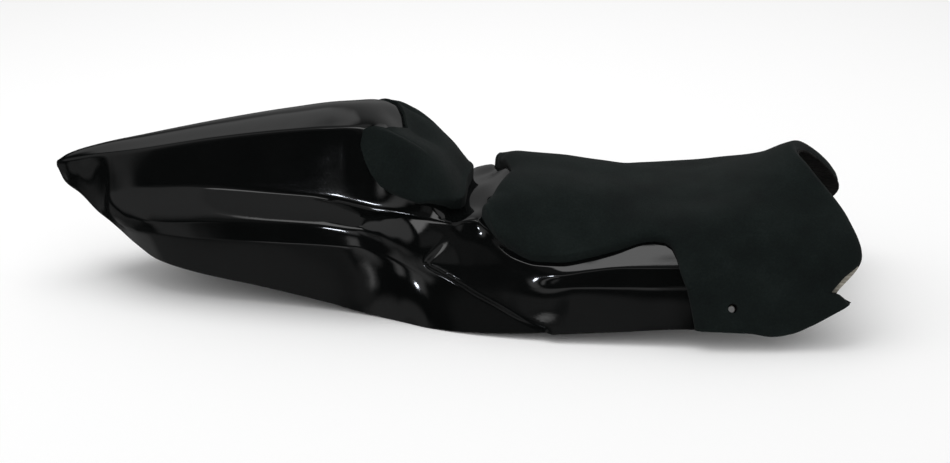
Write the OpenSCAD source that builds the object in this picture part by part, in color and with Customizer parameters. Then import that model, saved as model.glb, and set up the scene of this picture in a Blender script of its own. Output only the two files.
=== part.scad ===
// Racing seat unit: one moulded laminate shell with a rider's foam pad and a foam back stop.
// X runs forward, Z up, and the left and right halves mirror each other about Y = 0.
// A line along the body is a list of [station, half width, height] in millimetres.

/* [Laminate shell] */
// Thickness of the moulded laminate
wall = 3; // [2:0.5:5]
// Clear width of the fixing hole in each front flank
hole_d = 6.6; // [5:0.1:9]
// Station of the fixing hole
hole_s = 317; // [300:1:335]
// How far down the flank the hole sits, from the flank crease to the bottom edge
hole_drop = 0.5; // [0.3:0.05:0.7]
// How proud the front panel stands where it starts
panel_lift = 7; // [3:0.5:10]
// Width of the step up to the front panel
panel_step = 11; // [6:1:20]

/* [Foam pads] */
// Thickness of the rider's pad
pad_thick = 12; // [8:1:20]
// Thickness of the back stop pad
stop_thick = 14; // [8:1:20]
// Adhesive bed between the foam and the shell
bed = 0.8; // [0.5:0.1:1.5]
// Width of the rounding round the edge of the foam
edge_round = 9; // [5:1:14]
// Opening punched in the foam over the fixing hole
punch_d = 10; // [8:0.5:14]
// Station of the deepest point of the pad's hollowed rear edge
pad_rear = 76; // [66:1:86]
// Station of the pad's rear corners
pad_corner = 49; // [44:1:58]

/* [Hidden] */
// From the datum of the lines to the middle of the footprint on the ground
datum = [-2, 0, 2.1];
// Line along the top centre
top_line = [[-449, 0, 130], [-436, 0, 138.5], [-400, 0, 151], [-345, 0, 164], [-250, 0, 185],
    [-175, 0, 199], [-120, 0, 207], [-95, 0, 208], [-78, 0, 205.5], [-62, 0, 197], [-41, 0, 176.5],
    [-26, 0, 161], [-10, 0, 145], [2, 0, 129], [12, 0, 116], [24, 0, 112], [45, 0, 116],
    [80, 0, 127], [126, 0, 126], [173, 0, 121], [232, 0, 116.5], [270, 0, 117], [300, 0, 121.5],
    [325, 0, 129.5], [353, 0, 142], [375, 0, 156.5], [389, 0, 164.5]];
// Edge of the tail lid, then of the seat's flat middle
lid_line = [[-449, 2, 129], [-436, 9, 133], [-400, 17, 143], [-345, 26.5, 155], [-250, 36.5, 175],
    [-175, 45, 187.5], [-120, 51, 194.5], [-87, 53.5, 197], [-74, 52.5, 196],
    [-62, 51.5, 192], [-47, 50, 181], [-32, 49.5, 167], [-17, 50, 151.5], [-5, 51, 139], [6, 52, 124],
    [14, 52, 114], [28, 50, 108.5], [48, 56, 111.5], [80, 65, 123], [126, 64, 121.5], [173, 59, 118],
    [232, 51, 113.5], [270, 48, 114.5], [300, 47, 118.5], [325, 45, 126.5], [353, 42, 138.5],
    [375, 40, 151], [389, 39, 156]];
// Foot of the hump, then the edge of the seat pan
foot_line = [[-449, 2.6, 126.5], [-436, 9.5, 121], [-421, 14, 118], [-400, 21, 114], [-388, 28, 110],
    [-377, 38, 107.5], [-345, 46, 116], [-303, 51, 121], [-255, 57, 124], [-187, 63, 122], [-119, 69, 120],
    [-85, 72, 115], [-69, 74, 112], [-41, 77, 109], [-12, 82, 105], [16, 88, 103], [30, 92.5, 107],
    [44, 95, 109], [56, 98, 102], [70, 104, 89], [90, 110.5, 78], [112, 115, 74], [139, 117, 74.5],
    [166, 116, 80], [195, 113.5, 88.5], [218, 112, 95], [240, 111.5, 98], [270, 109, 102],
    [300, 105, 107], [330, 100, 112], [360, 94, 116], [389, 85, 115]];
// Shoulder of the side pod, then the middle of the flank
shoulder_line = [[-449, 2.6, 125], [-436, 8.5, 113], [-421, 13, 108], [-400, 22, 99], [-388, 31, 93],
    [-377, 43, 97], [-365, 54, 92], [-350, 64, 88], [-321, 77, 88], [-248, 90, 95], [-180, 98, 99],
    [-113, 104.5, 101], [-85, 106, 101.5], [-60, 104, 98], [-40, 101, 93.5], [-10, 97.5, 87.5],
    [16, 98, 84], [40, 101, 84], [60, 106, 76], [90, 114.5, 64], [112, 121, 61], [139, 126.5, 63.5],
    [166, 128, 69], [200, 127.5, 78.5], [235, 126, 83], [270, 124, 85], [300, 121.5, 87], [330, 118, 89],
    [360, 116, 90], [389, 111, 87]];
// Crease along the side pod, then along the flank
crease_line = [[-449, 2.4, 123.5], [-436, 7.5, 107], [-421, 12, 100], [-400, 22, 87], [-388, 31.5, 79],
    [-377, 42, 76], [-365, 52, 73.5], [-350, 63, 72.5], [-310, 79, 73.5], [-209, 97, 76.5], [-158, 103, 78],
    [-113, 108, 79.5], [-86, 110, 79.5], [-58, 110.5, 72], [-37, 111.5, 64], [4, 116, 47], [40, 121, 40],
    [80, 124, 42], [120, 126, 47], [160, 128, 50.5], [201, 129.5, 52.5], [240, 130, 54.5], [275, 131, 56],
    [300, 132, 57], [330, 132, 57], [360, 130, 55], [389, 125, 51]];
// Trimmed bottom edge
hem_line = [[-449, 2, 124], [-440, 6, 107], [-421, 12, 95], [-395, 25, 76], [-380, 36, 71],
    [-369, 45, 67], [-346, 58, 54], [-318, 68, 39], [-274, 79, 30.5], [-194, 89, 19.5], [-116, 99, 7],
    [-71, 109, 0], [-37, 121.5, -1], [-3, 136, -1], [53, 149, 2], [118, 155, 7], [203, 157, 13],
    [275, 156, 18], [330, 153, 16.5], [346, 151, 13], [358, 147, 15.5], [370, 141, 24], [389, 130, 44]];
lines = [top_line, lid_line, foot_line, shoulder_line, crease_line, hem_line];
// How far each line reaches past its station at the arched front edge
front_reach = [2, 14, 52, 64, 38, 54];
reach_from = 300;
front_s = 389;
// How sharp each line is, as [station, 0 for rounded and 1 for creased]
sharp = [[[-449, 0], [389, 0]],
    [[-449, 0.5], [-400, 0.85], [-100, 0.8], [-60, 0], [389, 0]],
    [[-449, 0], [-388, 0], [-370, 1], [20, 1], [52, 0.3], [80, 0], [389, 0]],
    [[-449, 0], [-385, 0], [-365, 0.5], [-80, 0.5], [-20, 0], [120, 0], [160, 0.7], [260, 0.7], [320, 0],
        [389, 0]],
    [[-449, 0], [-380, 0], [-350, 0.8], [-50, 0.9], [10, 0], [120, 0], [150, 0.6], [300, 0.6], [389, 1]],
    [[-449, 1], [389, 1]]];
// Rear edge of the raised front panel, seen from the side, as [x, z]
panel_edge = [[18, 104], [6, 86], [-11, 68], [-8, 59], [7, 51], [27, 42], [46, 33], [70, 24], [96, 14],
    [123, 6]];

stations = [-449, -444, -436, -427, -416, -405, -396, -388, -381, -374, -366, -356, -343, -325, -300,
    -270, -240, -210, -180, -155, -130, -110, -95, -85, -74, -62, -51, -41, -30, -19, -9, 0, 9, 17,
    26, 37, 48, 60, 74, 90, 110, 132, 155, 180, 206, 232, 256, 276, 294, 312, 330, 345, 357, 367, 378, 389];
across = [0, 0.4, 0.8, 1, 1.25, 1.55, 1.85, 2, 2.25, 2.6, 3, 3.5, 4, 4.5, 5];
inner_from = 3;

// Rear edge and lower edge of the back stop pad, as [position across, station]
stop_rear = [[0, -43], [0.5, -50], [0.9, -60], [1.04, -82], [1.25, -84], [1.45, -79], [1.6, -72],
    [1.72, -62], [1.78, -50]];
stop_front = [[0, 27], [0.6, 28], [1, 28], [1.2, 24], [1.4, 13], [1.6, 0], [1.78, -20]];
stop_side = 1.78;
// Rear edge of the rider's pad down the flank, as [position across, station]
pad_flank = [[2, 236], [2.08, 246], [2.3, 254], [2.7, 260], [3.2, 264], [4, 271], [5, 281]];

function find(t, x, i = 0) = (i >= len(t) - 2 || x < t[i + 1][0]) ? i : find(t, x, i + 1);
function rise(t, i, c) = (t[i + 1][c] - t[i][c]) / (t[i + 1][0] - t[i][0]);
function lean(t, i, c) = i == 0 ? rise(t, 0, c) : i == len(t) - 1 ? rise(t, i - 1, c)
    : rise(t, i - 1, c) * rise(t, i, c) <= 0 ? 0
    : let (a = t[i][0] - t[i - 1][0], b = t[i + 1][0] - t[i][0])
      3 * (a + b) / ((2 * b + a) / rise(t, i - 1, c) + (b + 2 * a) / rise(t, i, c));
// Smooth curve through the points of a line, read at x
function flow(t, x, c) = let (i = find(t, x), h = t[i + 1][0] - t[i][0], u = (x - t[i][0]) / h)
    (1 + 2 * u) * (1 - u) * (1 - u) * t[i][c] + u * (1 - u) * (1 - u) * h * lean(t, i, c)
    + u * u * (3 - 2 * u) * t[i + 1][c] - u * u * (1 - u) * h * lean(t, i + 1, c);
function clamp(x) = min(1, max(0, x));
function ease(x) = let (u = clamp(x)) u * u * (3 - 2 * u);

function reach(s, k) = front_reach[k] * pow(clamp((s - reach_from) / (front_s - reach_from)), 2);
function rails(s) = [for (k = [0:5]) [s + reach(s, k), flow(lines[k], s, 1), flow(lines[k], s, 2)]];
function chord(p, k) = norm(p[k + 1] - p[k]);
function dir(p, k) = (p[k + 1] - p[k]) / chord(p, k);
function soft(p, k) = k == 0 ? [0, dir(p, 0)[1], 0] : k == 5 ? dir(p, 4)
    : (dir(p, k - 1) * chord(p, k) + dir(p, k) * chord(p, k - 1)) / (chord(p, k - 1) + chord(p, k));
function turn(p, s, k, m) = let (c = lookup(s, sharp[k])) soft(p, k) * (1 - c) + dir(p, m) * c;
// Point of one half section, t counting the lines from the centre to the bottom edge
function section(p, s, t) = let (k = min(4, floor(t)), u = t - k, h = chord(p, k))
    (1 + 2 * u) * (1 - u) * (1 - u) * p[k] + u * (1 - u) * (1 - u) * h * turn(p, s, k, k)
    + u * u * (3 - 2 * u) * p[k + 1] - u * u * (1 - u) * h * turn(p, s, k + 1, k);

function off(q, a, b) = let (v = b - a, u = clamp(((q - a) * v) / (v * v)), w = q - a - v * u)
    [norm(w), v[0] * w[1] - v[1] * w[0]];
function nearest(q, i = 0, best = [1000, 0]) = i >= len(panel_edge) - 1 ? best
    : let (n = off(q, panel_edge[i], panel_edge[i + 1])) nearest(q, i + 1, n[0] < best[0] ? n : best);
// Outward lift of the front panel, dying away along the flank and towards the top
function lift(x, z) = x < -40 || x > 230 ? 0 : let (n = nearest([x, z]))
    n[1] <= 0 ? 0 : panel_lift * ease(n[0] / panel_step) * (1 - ease((x - 50) / 180))
        * (1 - ease((z - 62) / 36));
function skin(p, s, t) = let (q = section(p, s, abs(t)), g = t < 2 && t > -2 ? 0 : lift(q[0], q[2]))
    [q[0], sign(t) * (q[1] + g * clamp((abs(t) - 2) * 3)), q[2]] + datum;
function at(s, t) = skin(rails(s), s, t);
// Direction pointing out of the shell
function out(s, t) = let (a = max(-449, s - 2), b = min(front_s, s + 2), e = abs(t) > 4.96 ? 0.04 : 0,
    u = at(b, t) - at(a, t),
    v = at(s, min(5, t + 0.04)) - at(s, max(-5, t - 0.04)), n = cross(u, v)) n / norm(n);

rows = concat([for (i = [len(across) - 1:-1:1]) -across[i]], across);
nr = len(rows);

function grid_faces(n, m, from, flip) = [for (i = [0:n - 2], j = [0:m - 2])
    let (a = from + i * m + j, b = a + 1, c = a + m + 1, d = a + m)
    each flip ? [[a, c, b], [a, d, c]] : [[a, b, c], [a, c, d]]];

// Closes the laminate where the hollow of the tail ends, from rim to rim
function plug(o) = let (mid = (nr - 1) / 2)
    [for (j = [0:mid - 1]) let (a = o + j, b = o + nr - 1 - j)
        each j == mid - 1 ? [[a, b, a + 1]] : [[a, b, b - 1], [a, b - 1, a + 1]]];

// Laminate moulding without its holes: outer skin, inner skin and trimmed rims
module moulding() {
    n = len(stations);
    k = inner_from;
    outer = [for (s = stations) let (p = rails(s)) [for (t = rows) skin(p, s, t)]];
    inner = [for (i = [k:n - 1]) [for (j = [0:nr - 1])
        let (u = outer[min(n - 1, i + 1)][j] - outer[i - 1][j],
            v = outer[i][min(nr - 1, j + 1)] - outer[i][max(0, j - 1)], w = cross(u, v))
        outer[i][j] - w / norm(w) * wall]];
    m = n - k;
    o = n * nr;
    e = nr - 1;
    near_rim = [for (i = [0:m - 2]) let (a = (k + i) * nr, b = a + nr, c = o + (i + 1) * nr, d = o + i * nr)
        each [[a, b, c], [a, c, d]]];
    far_rim = [for (i = [0:m - 2]) let (a = (k + i) * nr + e, b = a + nr, d = o + i * nr + e, c = d + nr)
        each [[a, c, b], [a, d, c]]];
    front_rim = [for (j = [0:nr - 2]) let (a = (n - 1) * nr + j, b = a + 1, d = o + (m - 1) * nr + j, c = d + 1)
        each [[a, b, c], [a, c, d]]];
    tip = [for (j = [1:nr - 2]) [0, j + 1, j]];
    under = [for (i = [0:k - 2]) let (a = i * nr, b = a + e, c = a + nr, d = c + e)
        each [[a, b, d], [a, d, c]]];
    last = let (a = (k - 1) * nr, b = a + e, c = k * nr, d = c + e, f = o, g = o + e)
        [[a, f, c], [b, d, g], [a, b, g], [a, g, f]];
    polyhedron(points = concat([for (r = outer) each r], [for (r = inner) each r]),
        faces = concat(grid_faces(n, nr, 0, false), grid_faces(m, nr, o, true), near_rim, far_rim,
            front_rim, tip, under, last, plug(o)), convexity = 8);
}

hole_t = 4 + hole_drop;
module fixing_hole(side, d, long) {
    n = out(hole_s, side * hole_t);
    c = at(hole_s, side * hole_t);
    translate(c) rotate([0, acos(n[2]), atan2(n[1], n[0])]) cylinder(h = long, d = d, center = true, $fn = 48);
}

module seat_shell() {
    color([0.03, 0.03, 0.035]) difference() {
        moulding();
        fixing_hole(-1, hole_d, 24);
        fixing_hole(1, hole_d, 24);
    }
}

// Foam laid on the shell: st holds [station, position across] for each grid point, f its share of
// the thickness, and use tells which cells of the grid the foam fills
module foam(st, f, use, thick) {
    n = len(st);
    m = len(st[0]);
    low = [for (i = [0:n - 1]) [for (j = [0:m - 1]) let (s = st[i][j][0], t = st[i][j][1])
        at(s, t) + out(s, t) * bed]];
    high = [for (i = [0:n - 1]) [for (j = [0:m - 1]) let (s = st[i][j][0], t = st[i][j][1], d = out(s, t),
        flat = ease((abs(t) - 4.5) / 0.4), h = [d[0], d[1], d[2] * (1 - flat)])
        low[i][j] + h / norm(h) * thick * f[i][j]]];
    o = n * m;
    cells = [for (i = [0:n - 2], j = [0:m - 2]) if (use[i][j]) [i, j]];
    sheets = [for (c = cells) let (a = c[0] * m + c[1], b = a + 1, e = a + m + 1, d = a + m)
        each [[a, b, e], [a, e, d], [o + a, o + e, o + b], [o + a, o + d, o + e]]];
    edges = [for (c = cells) let (i = c[0], j = c[1], a = i * m + j, b = a + 1, e = a + m + 1, d = a + m)
        each concat(i == 0 || !use[i - 1][j] ? [[b, a]] : [], i == n - 2 || !use[i + 1][j] ? [[d, e]] : [],
            j == 0 || !use[i][j - 1] ? [[a, d]] : [], j == m - 2 || !use[i][j + 1] ? [[e, b]] : [])];
    walls = [for (w = edges) each [[w[0], w[1], o + w[1]], [w[0], o + w[1], o + w[0]]]];
    polyhedron(points = concat([for (r = high) each r], [for (r = low) each r]),
        faces = concat(sheets, walls), convexity = 6);
}
// Share of the full thickness, rounding off from low at the edge over a width w
function share(e, w = edge_round, low = 0.45) = low + (1 - low) * sqrt(1 - pow(1 - clamp(e / w), 2));
function both(a) = concat([for (i = [len(a) - 1:-1:1]) -a[i]], a);

function pad_back(t) = pad_rear + (pad_corner - pad_rear) * pow(min(1, t / 1.7), 2.2)
    + 17 * (1 - sqrt(1 - pow(clamp((t - 1.6) / 0.4), 2)));
function pad_front(t) = front_s - 0.5 - 2 * ease((t - 2.7) / 0.5) * (1 - ease((t - 4) / 0.4));
module seat_pad() {
    cols = [0, 3, 9, 21, 37, 55, 75, 97, 119, 141, 157, 171, 180, 187];
    more = [3, 9, 19, 32, 46, 60, 75, 91, 105, 117, 127, 136, 144, 150, 153];
    ts = both([0, 0.35, 0.7, 1, 1.3, 1.55, 1.75, 1.9, 1.965, 2, 2.15, 2.45, 2.85, 3.25, 3.65, 4, 4.35, 4.7,
        4.93, 5]);
    n = len(cols) + len(more);
    turn_i = len(cols) - 1;
    st = [for (i = [0:n - 1]) [for (t0 = ts) let (t = abs(t0), e = pad_front(t),
        g = i <= turn_i ? cols[i] / 187 : more[i - turn_i - 1] / 153,
        s = i <= turn_i ? pad_back(t) + (236 - pad_back(t)) * g
            : lookup(t, pad_flank) + (e - lookup(t, pad_flank)) * g)
        [t > 2 && i <= turn_i ? lookup(t, pad_flank) : s, t0]]];
    f = [for (r = st) [for (q = r) let (s = q[0], t = abs(q[1]), fore = share((pad_front(t) - s) * 2))
        fore * (t > 2 ? share(s - lookup(t, pad_flank)) * share((5 - t) * 32)
            : share(s - pad_back(t)) * share(norm([(2 - t) * 60, max(0, s - 236)]))
                * (1 + 0.4 * ease((t - 1.2) / 0.5) * (1 - ease((s - pad_back(t)) / 60))))]];
    use = [for (i = [0:n - 2]) [for (j = [0:len(ts) - 2]) i >= turn_i || abs(ts[j] + ts[j + 1]) < 4]];
    color([0.07, 0.09, 0.09]) difference() {
        foam(st, f, use, pad_thick);
        fixing_hole(-1, punch_d, 60);
        fixing_hole(1, punch_d, 60);
    }
}

module bum_stop_pad() {
    ps = [0, 0.04, 0.11, 0.25, 0.4, 0.55, 0.7, 0.82, 0.91, 0.97, 1];
    qs = both([0, 0.15, 0.29, 0.42, 0.506, 0.585, 0.7, 0.81, 0.9, 0.96, 1]);
    st = [for (p = ps) [for (q = qs) let (t = q * stop_side, s0 = lookup(abs(t), stop_rear),
        s1 = lookup(abs(t), stop_front)) [s0 + (s1 - s0) * p, t]]];
    f = [for (p = ps) [for (q = qs) (0.22 + 0.78 * ease(p * 95 / 46)) * share((1 - p) * 90, edge_round, 0.85)
        * share((1 - abs(q)) * 120)]];
    use = [for (i = [0:len(ps) - 2]) [for (j = [0:len(qs) - 2]) true]];
    color([0.07, 0.09, 0.09]) foam(st, f, use, stop_thick);
}

seat_shell();
seat_pad();
bum_stop_pad();
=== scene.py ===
# %% [markdown]
# # A racing seat unit in gloss black laminate
# The real object is the tail of a track motorcycle. It is one hollow shell of glass laminate, laid up
# in a polished female mould, so the outside is a thin glossy gelcoat and the inside is the rough back
# of the laminate. Two pads of closed-cell foam are glued on: a rider's pad, cut in one piece, and a
# back stop on the front of the hump.
#
# The CAD frame holds the same three solids with a few thousand facets. Here each one is worked out
# again from the same lines on a much finer grid, so that the highlights run smoothly over it, and gets
# its edges, its fillets and its finish. Everything is in metres and X runs forward.

# %% Load the frame
import math
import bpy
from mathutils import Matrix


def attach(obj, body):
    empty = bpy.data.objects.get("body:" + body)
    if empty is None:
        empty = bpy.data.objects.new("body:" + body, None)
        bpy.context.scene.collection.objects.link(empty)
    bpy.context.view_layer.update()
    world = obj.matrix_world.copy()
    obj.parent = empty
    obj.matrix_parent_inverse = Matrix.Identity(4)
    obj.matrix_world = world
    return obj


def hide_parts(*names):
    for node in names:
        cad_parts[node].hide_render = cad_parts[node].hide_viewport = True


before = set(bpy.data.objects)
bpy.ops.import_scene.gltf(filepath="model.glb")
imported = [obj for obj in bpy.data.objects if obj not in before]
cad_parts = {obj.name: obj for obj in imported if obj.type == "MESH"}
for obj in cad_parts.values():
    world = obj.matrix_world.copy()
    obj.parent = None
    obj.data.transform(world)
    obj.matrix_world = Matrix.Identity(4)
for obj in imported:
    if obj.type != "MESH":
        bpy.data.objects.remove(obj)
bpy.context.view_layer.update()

import bpy
import numpy as np
from mathutils import Vector

MM = 0.001

# %% [markdown]
# The camera comes first. The photograph is taken from the unit's right side, a little ahead of square
# and from above, with a longish lens. A lens length follows from how many pixels one unit of slope
# covers in the 950 pixel wide frame.

# %% Camera
AZIMUTH, ELEVATION, DISTANCE = math.radians(5.4), math.radians(21.0), 1.872
AIM = Vector((0.0325, 0.0, 0.0616))
PIXELS_PER_SLOPE, FRAME_WIDTH, SENSOR = 1640.0, 950.0, 36.0

away = Vector((math.sin(AZIMUTH) * math.cos(ELEVATION),
               -math.cos(AZIMUTH) * math.cos(ELEVATION), math.sin(ELEVATION)))
camera = bpy.data.objects.new("camera", bpy.data.cameras.new("camera"))
camera.data.sensor_fit = "HORIZONTAL"
camera.data.sensor_width = SENSOR
camera.data.lens = PIXELS_PER_SLOPE / FRAME_WIDTH * SENSOR
camera.location = AIM + away * DISTANCE
camera.rotation_euler = (-away).to_track_quat("-Z", "Y").to_euler()
bpy.context.scene.collection.objects.link(camera)
bpy.context.scene.camera = camera
print("camera lens mm:", round(camera.data.lens, 2))

# %% [markdown]
# The body is drawn by six lines that run from the tail to the front: the top centre, the edge of the
# lid, the foot of the hump, the shoulder, the crease and the trimmed hem. Each is a list of
# [station, half width, height] in millimetres. They are the CAD source's numbers, repeated because
# this script can't read that file. Only the shoulder and the crease differ, by a few millimetres
# between stations 166 and 300, so that the band under the pad's edge faces up along its whole length.

# %% The six lines
TOP = np.array([
    [-449, 0, 130], [-436, 0, 138.5], [-400, 0, 151], [-345, 0, 164], [-250, 0, 185], [-175, 0, 199],
    [-120, 0, 207], [-95, 0, 208], [-78, 0, 205.5], [-62, 0, 197], [-41, 0, 176.5], [-26, 0, 161],
    [-10, 0, 145], [2, 0, 129], [12, 0, 116], [24, 0, 112], [45, 0, 116], [80, 0, 127], [126, 0, 126],
    [173, 0, 121], [232, 0, 116.5], [270, 0, 117], [300, 0, 121.5], [325, 0, 129.5], [353, 0, 142],
    [375, 0, 156.5], [389, 0, 164.5]], float)
LID = np.array([
    [-449, 2, 129], [-436, 9, 133], [-400, 17, 143], [-345, 26.5, 155], [-250, 36.5, 175],
    [-175, 45, 187.5], [-120, 51, 194.5], [-87, 53.5, 197], [-74, 52.5, 196], [-62, 51.5, 192],
    [-47, 50, 181], [-32, 49.5, 167], [-17, 50, 151.5], [-5, 51, 139], [6, 52, 124], [14, 52, 114],
    [28, 50, 108.5],
    [48, 56, 111.5], [80, 65, 123], [126, 64, 121.5], [173, 59, 118], [232, 51, 113.5],
    [270, 48, 114.5], [300, 47, 118.5], [325, 45, 126.5], [353, 42, 138.5], [375, 40, 151],
    [389, 39, 156]], float)
FOOT = np.array([
    [-449, 2.6, 126.5], [-436, 9.5, 121], [-421, 14, 118], [-400, 21, 114], [-388, 28, 110],
    [-377, 38, 107.5], [-345, 46, 116], [-303, 51, 121], [-255, 57, 124], [-187, 63, 122],
    [-119, 69, 120], [-85, 72, 115], [-69, 74, 112], [-41, 77, 109], [-12, 82, 105], [16, 88, 103],
    [30, 92.5, 107], [44, 95, 109], [56, 98, 102], [70, 104, 89], [90, 110.5, 78], [112, 115, 74],
    [139, 117, 74.5], [166, 116, 80], [195, 113.5, 88.5], [218, 112, 95], [240, 111.5, 98],
    [270, 109, 102], [300, 105, 107], [330, 100, 112], [360, 94, 116], [389, 85, 115]], float)
SHOULDER = np.array([
    [-449, 2.6, 125], [-436, 8.5, 113], [-421, 13, 108], [-400, 22, 99], [-388, 31, 93], [-377, 43, 97],
    [-365, 54, 92], [-350, 64, 88], [-321, 77, 88], [-248, 90, 95], [-180, 98, 99], [-113, 104.5, 101],
    [-85, 106, 101.5], [-60, 104, 98], [-40, 101, 93.5], [-10, 97.5, 87.5], [16, 98, 84],
    [40, 101, 84], [60, 106, 76], [90, 114.5, 64], [112, 121, 61], [139, 126.5, 63.5], [166, 128.5, 69],
    [200, 130.5, 74], [235, 132.3, 76], [270, 132.5, 78], [300, 127, 84], [330, 118, 89],
    [360, 116, 90], [389, 111, 87]], float)
CREASE = np.array([
    [-449, 2.4, 123.5], [-436, 7.5, 107], [-421, 12, 100], [-400, 22, 87], [-388, 31.5, 79],
    [-377, 42, 76], [-365, 52, 73.5], [-350, 63, 72.5], [-310, 79, 73.5], [-209, 97, 76.5],
    [-158, 103, 78], [-113, 108, 79.5], [-86, 110, 79.5], [-58, 110.5, 72], [-37, 111.5, 64],
    [4, 116, 47], [40, 121, 40], [80, 124, 42], [120, 126, 47], [160, 128, 50.5], [201, 131, 52.5],
    [240, 133.5, 54.5], [275, 133.5, 56], [300, 133, 57], [330, 132, 57], [360, 130, 55],
    [389, 125, 51]], float)
HEM = np.array([
    [-449, 2, 124], [-440, 6, 107], [-421, 12, 95], [-395, 25, 76], [-380, 36, 71], [-369, 45, 67],
    [-346, 58, 54], [-318, 68, 39], [-274, 79, 30.5], [-194, 89, 19.5], [-116, 99, 7], [-71, 109, 0],
    [-37, 121.5, -1], [-3, 136, -1], [53, 149, 2], [118, 155, 7], [203, 157, 13], [275, 156, 18],
    [330, 153, 16.5], [346, 151, 13], [358, 147, 15.5], [370, 141, 24], [389, 130, 44]], float)
LINES = [TOP, LID, FOOT, SHOULDER, CREASE, HEM]

# How sharp each line is along the body, as [station, 0 for rounded and 1 for creased]
SHARP = [np.array(table, float) for table in (
    [[-449, 0], [389, 0]],
    [[-449, 0.5], [-400, 0.85], [-100, 0.8], [-60, 0], [389, 0]],
    [[-449, 0], [-388, 0], [-370, 1], [20, 1], [52, 0.3], [80, 0], [389, 0]],
    [[-449, 0], [-385, 0], [-365, 0.5], [-80, 0.5], [-20, 0], [120, 0], [160, 0.7], [200, 1],
     [285, 1], [320, 0], [389, 0]],
    [[-449, 0], [-380, 0], [-350, 0.8], [-50, 0.9], [0, 0.8], [40, 0.3], [70, 0], [120, 0], [150, 0.6],
     [300, 0.6], [389, 1]],
    [[-449, 1], [389, 1]])]
TAIL, FRONT = -449.0, 389.0
# How far ahead of the last station each line ends, growing from station REACH_FROM, which arches the
# front edge and makes its wings
REACH_FROM = 300.0
FRONT_REACH = np.array([2, 14, 52, 64, 38, 54], float)
# From the origin of the lines to the middle of the footprint on the ground
DATUM = np.array([-2.0, 0.0, 2.1])
# Rear edge of the raised front panel, seen from the side, as [x, z]
PANEL_EDGE = np.array([[18, 104], [6, 86], [-11, 68], [-8, 59], [7, 51], [27, 42], [46, 33], [70, 24],
                       [96, 14], [123, 6]], float)
print("points on the lines:", [len(line) for line in LINES])

# %% [markdown]
# A smooth skin needs two curves. Along the body each line is a cubic through its points, whose slope
# at a point is the harmonic mean of the rises on either side, so it never overshoots. Across the body
# a second cubic joins the six lines, with a straight or a rounded run through each of them. A point of
# the skin is then a function of two numbers: the station along, and the place across, which counts the
# lines from 0 at the centre to 5 at the hem and is negative on the right side.

# %% Curves along the body
def blend4(u, a, slope_a, b, slope_b):
    """Cubic from a to b as u runs from 0 to 1, leaving with slope_a and arriving with slope_b."""
    return ((1 + 2 * u) * (1 - u) ** 2 * a + u * (1 - u) ** 2 * slope_a
            + u * u * (3 - 2 * u) * b - u * u * (1 - u) * slope_b)


def ease(x):
    """0 below 0 and 1 above 1, with a level start and end: 3u squared minus 2u cubed between."""
    u = np.clip(x, 0, 1)
    return u * u * (3 - 2 * u)


def between(x, start, rise, end, fall):
    """1 from start + rise to end: it eases up from 0 at start, and back down to 0 at end + fall."""
    return ease((x - start) / rise) * (1 - ease((x - end) / fall))


def slopes(x, y):
    """Slope at each point: the weighted harmonic mean of the rises beside it, and none at a peak."""
    gap = np.diff(x)
    rise = np.diff(y) / gap
    a, b, p, q = gap[:-1], gap[1:], rise[:-1], rise[1:]
    same = p * q > 0
    p, q = np.where(same, p, 1), np.where(same, q, 1)
    inside = np.where(same, 3 * (a + b) / ((2 * b + a) / p + (b + 2 * a) / q), 0)
    return np.concatenate([rise[:1], inside, rise[-1:]])


def flow(line, x, column):
    """Column of a line read at the stations x, on the cubic through its points."""
    px, py = line[:, 0], line[:, column]
    i = np.clip(np.searchsorted(px, x, side="right") - 1, 0, len(px) - 2)
    gap, slope = px[i + 1] - px[i], slopes(px, py)
    return blend4((x - px[i]) / gap, py[i], gap * slope[i], py[i + 1], gap * slope[i + 1])


def rails(s):
    """The six line points at each station: forward by the line's reach near the front edge."""
    push = np.clip((s - REACH_FROM) / (FRONT - REACH_FROM), 0, None) ** 2
    return np.stack([np.stack([s + FRONT_REACH[k] * push, flow(line, s, 1), flow(line, s, 2)], -1)
                     for k, line in enumerate(LINES)], -2)


# %% Curves across the body
def pick(table, k):
    """Row k of the last but one axis, for an array of k."""
    return np.take_along_axis(table, k[..., None, None], -2)[..., 0, :]


def section(p, s, t):
    """Cubic from line k to line k + 1 at t = k + u. Its end slopes mix the straight run between the two
    lines with the mean direction of the runs before and after, by how sharp the line is there."""
    step = np.diff(p, axis=-2)
    size = np.linalg.norm(step, axis=-1, keepdims=True)
    run = step / size
    level = run[..., :1, :] * np.array([0, 1, 0])
    mean = (run[..., :-1, :] * size[..., 1:, :] + run[..., 1:, :] * size[..., :-1, :]) \
        / (size[..., :-1, :] + size[..., 1:, :])
    soft = np.concatenate([level, mean, run[..., -1:, :]], -2)
    crease = np.stack([np.interp(s, table[:, 0], table[:, 1]) for table in SHARP], -1)[..., None]
    k = np.clip(np.floor(t).astype(int), 0, 4)
    straight, length = pick(run, k), pick(size, k)
    ca, cb = pick(crease, k), pick(crease, k + 1)
    slope_a = pick(soft, k) * (1 - ca) + straight * ca
    slope_b = pick(soft, k + 1) * (1 - cb) + straight * cb
    return blend4((t - k)[..., None], pick(p, k), length * slope_a, pick(p, k + 1), length * slope_b)


FILLET = 3.0     # half width of the rounding over a crease, mm
FILLET_TAPS = ((-1.0, 1), (-0.5, 2), (0.0, 3), (0.5, 2), (1.0, 1))


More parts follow.
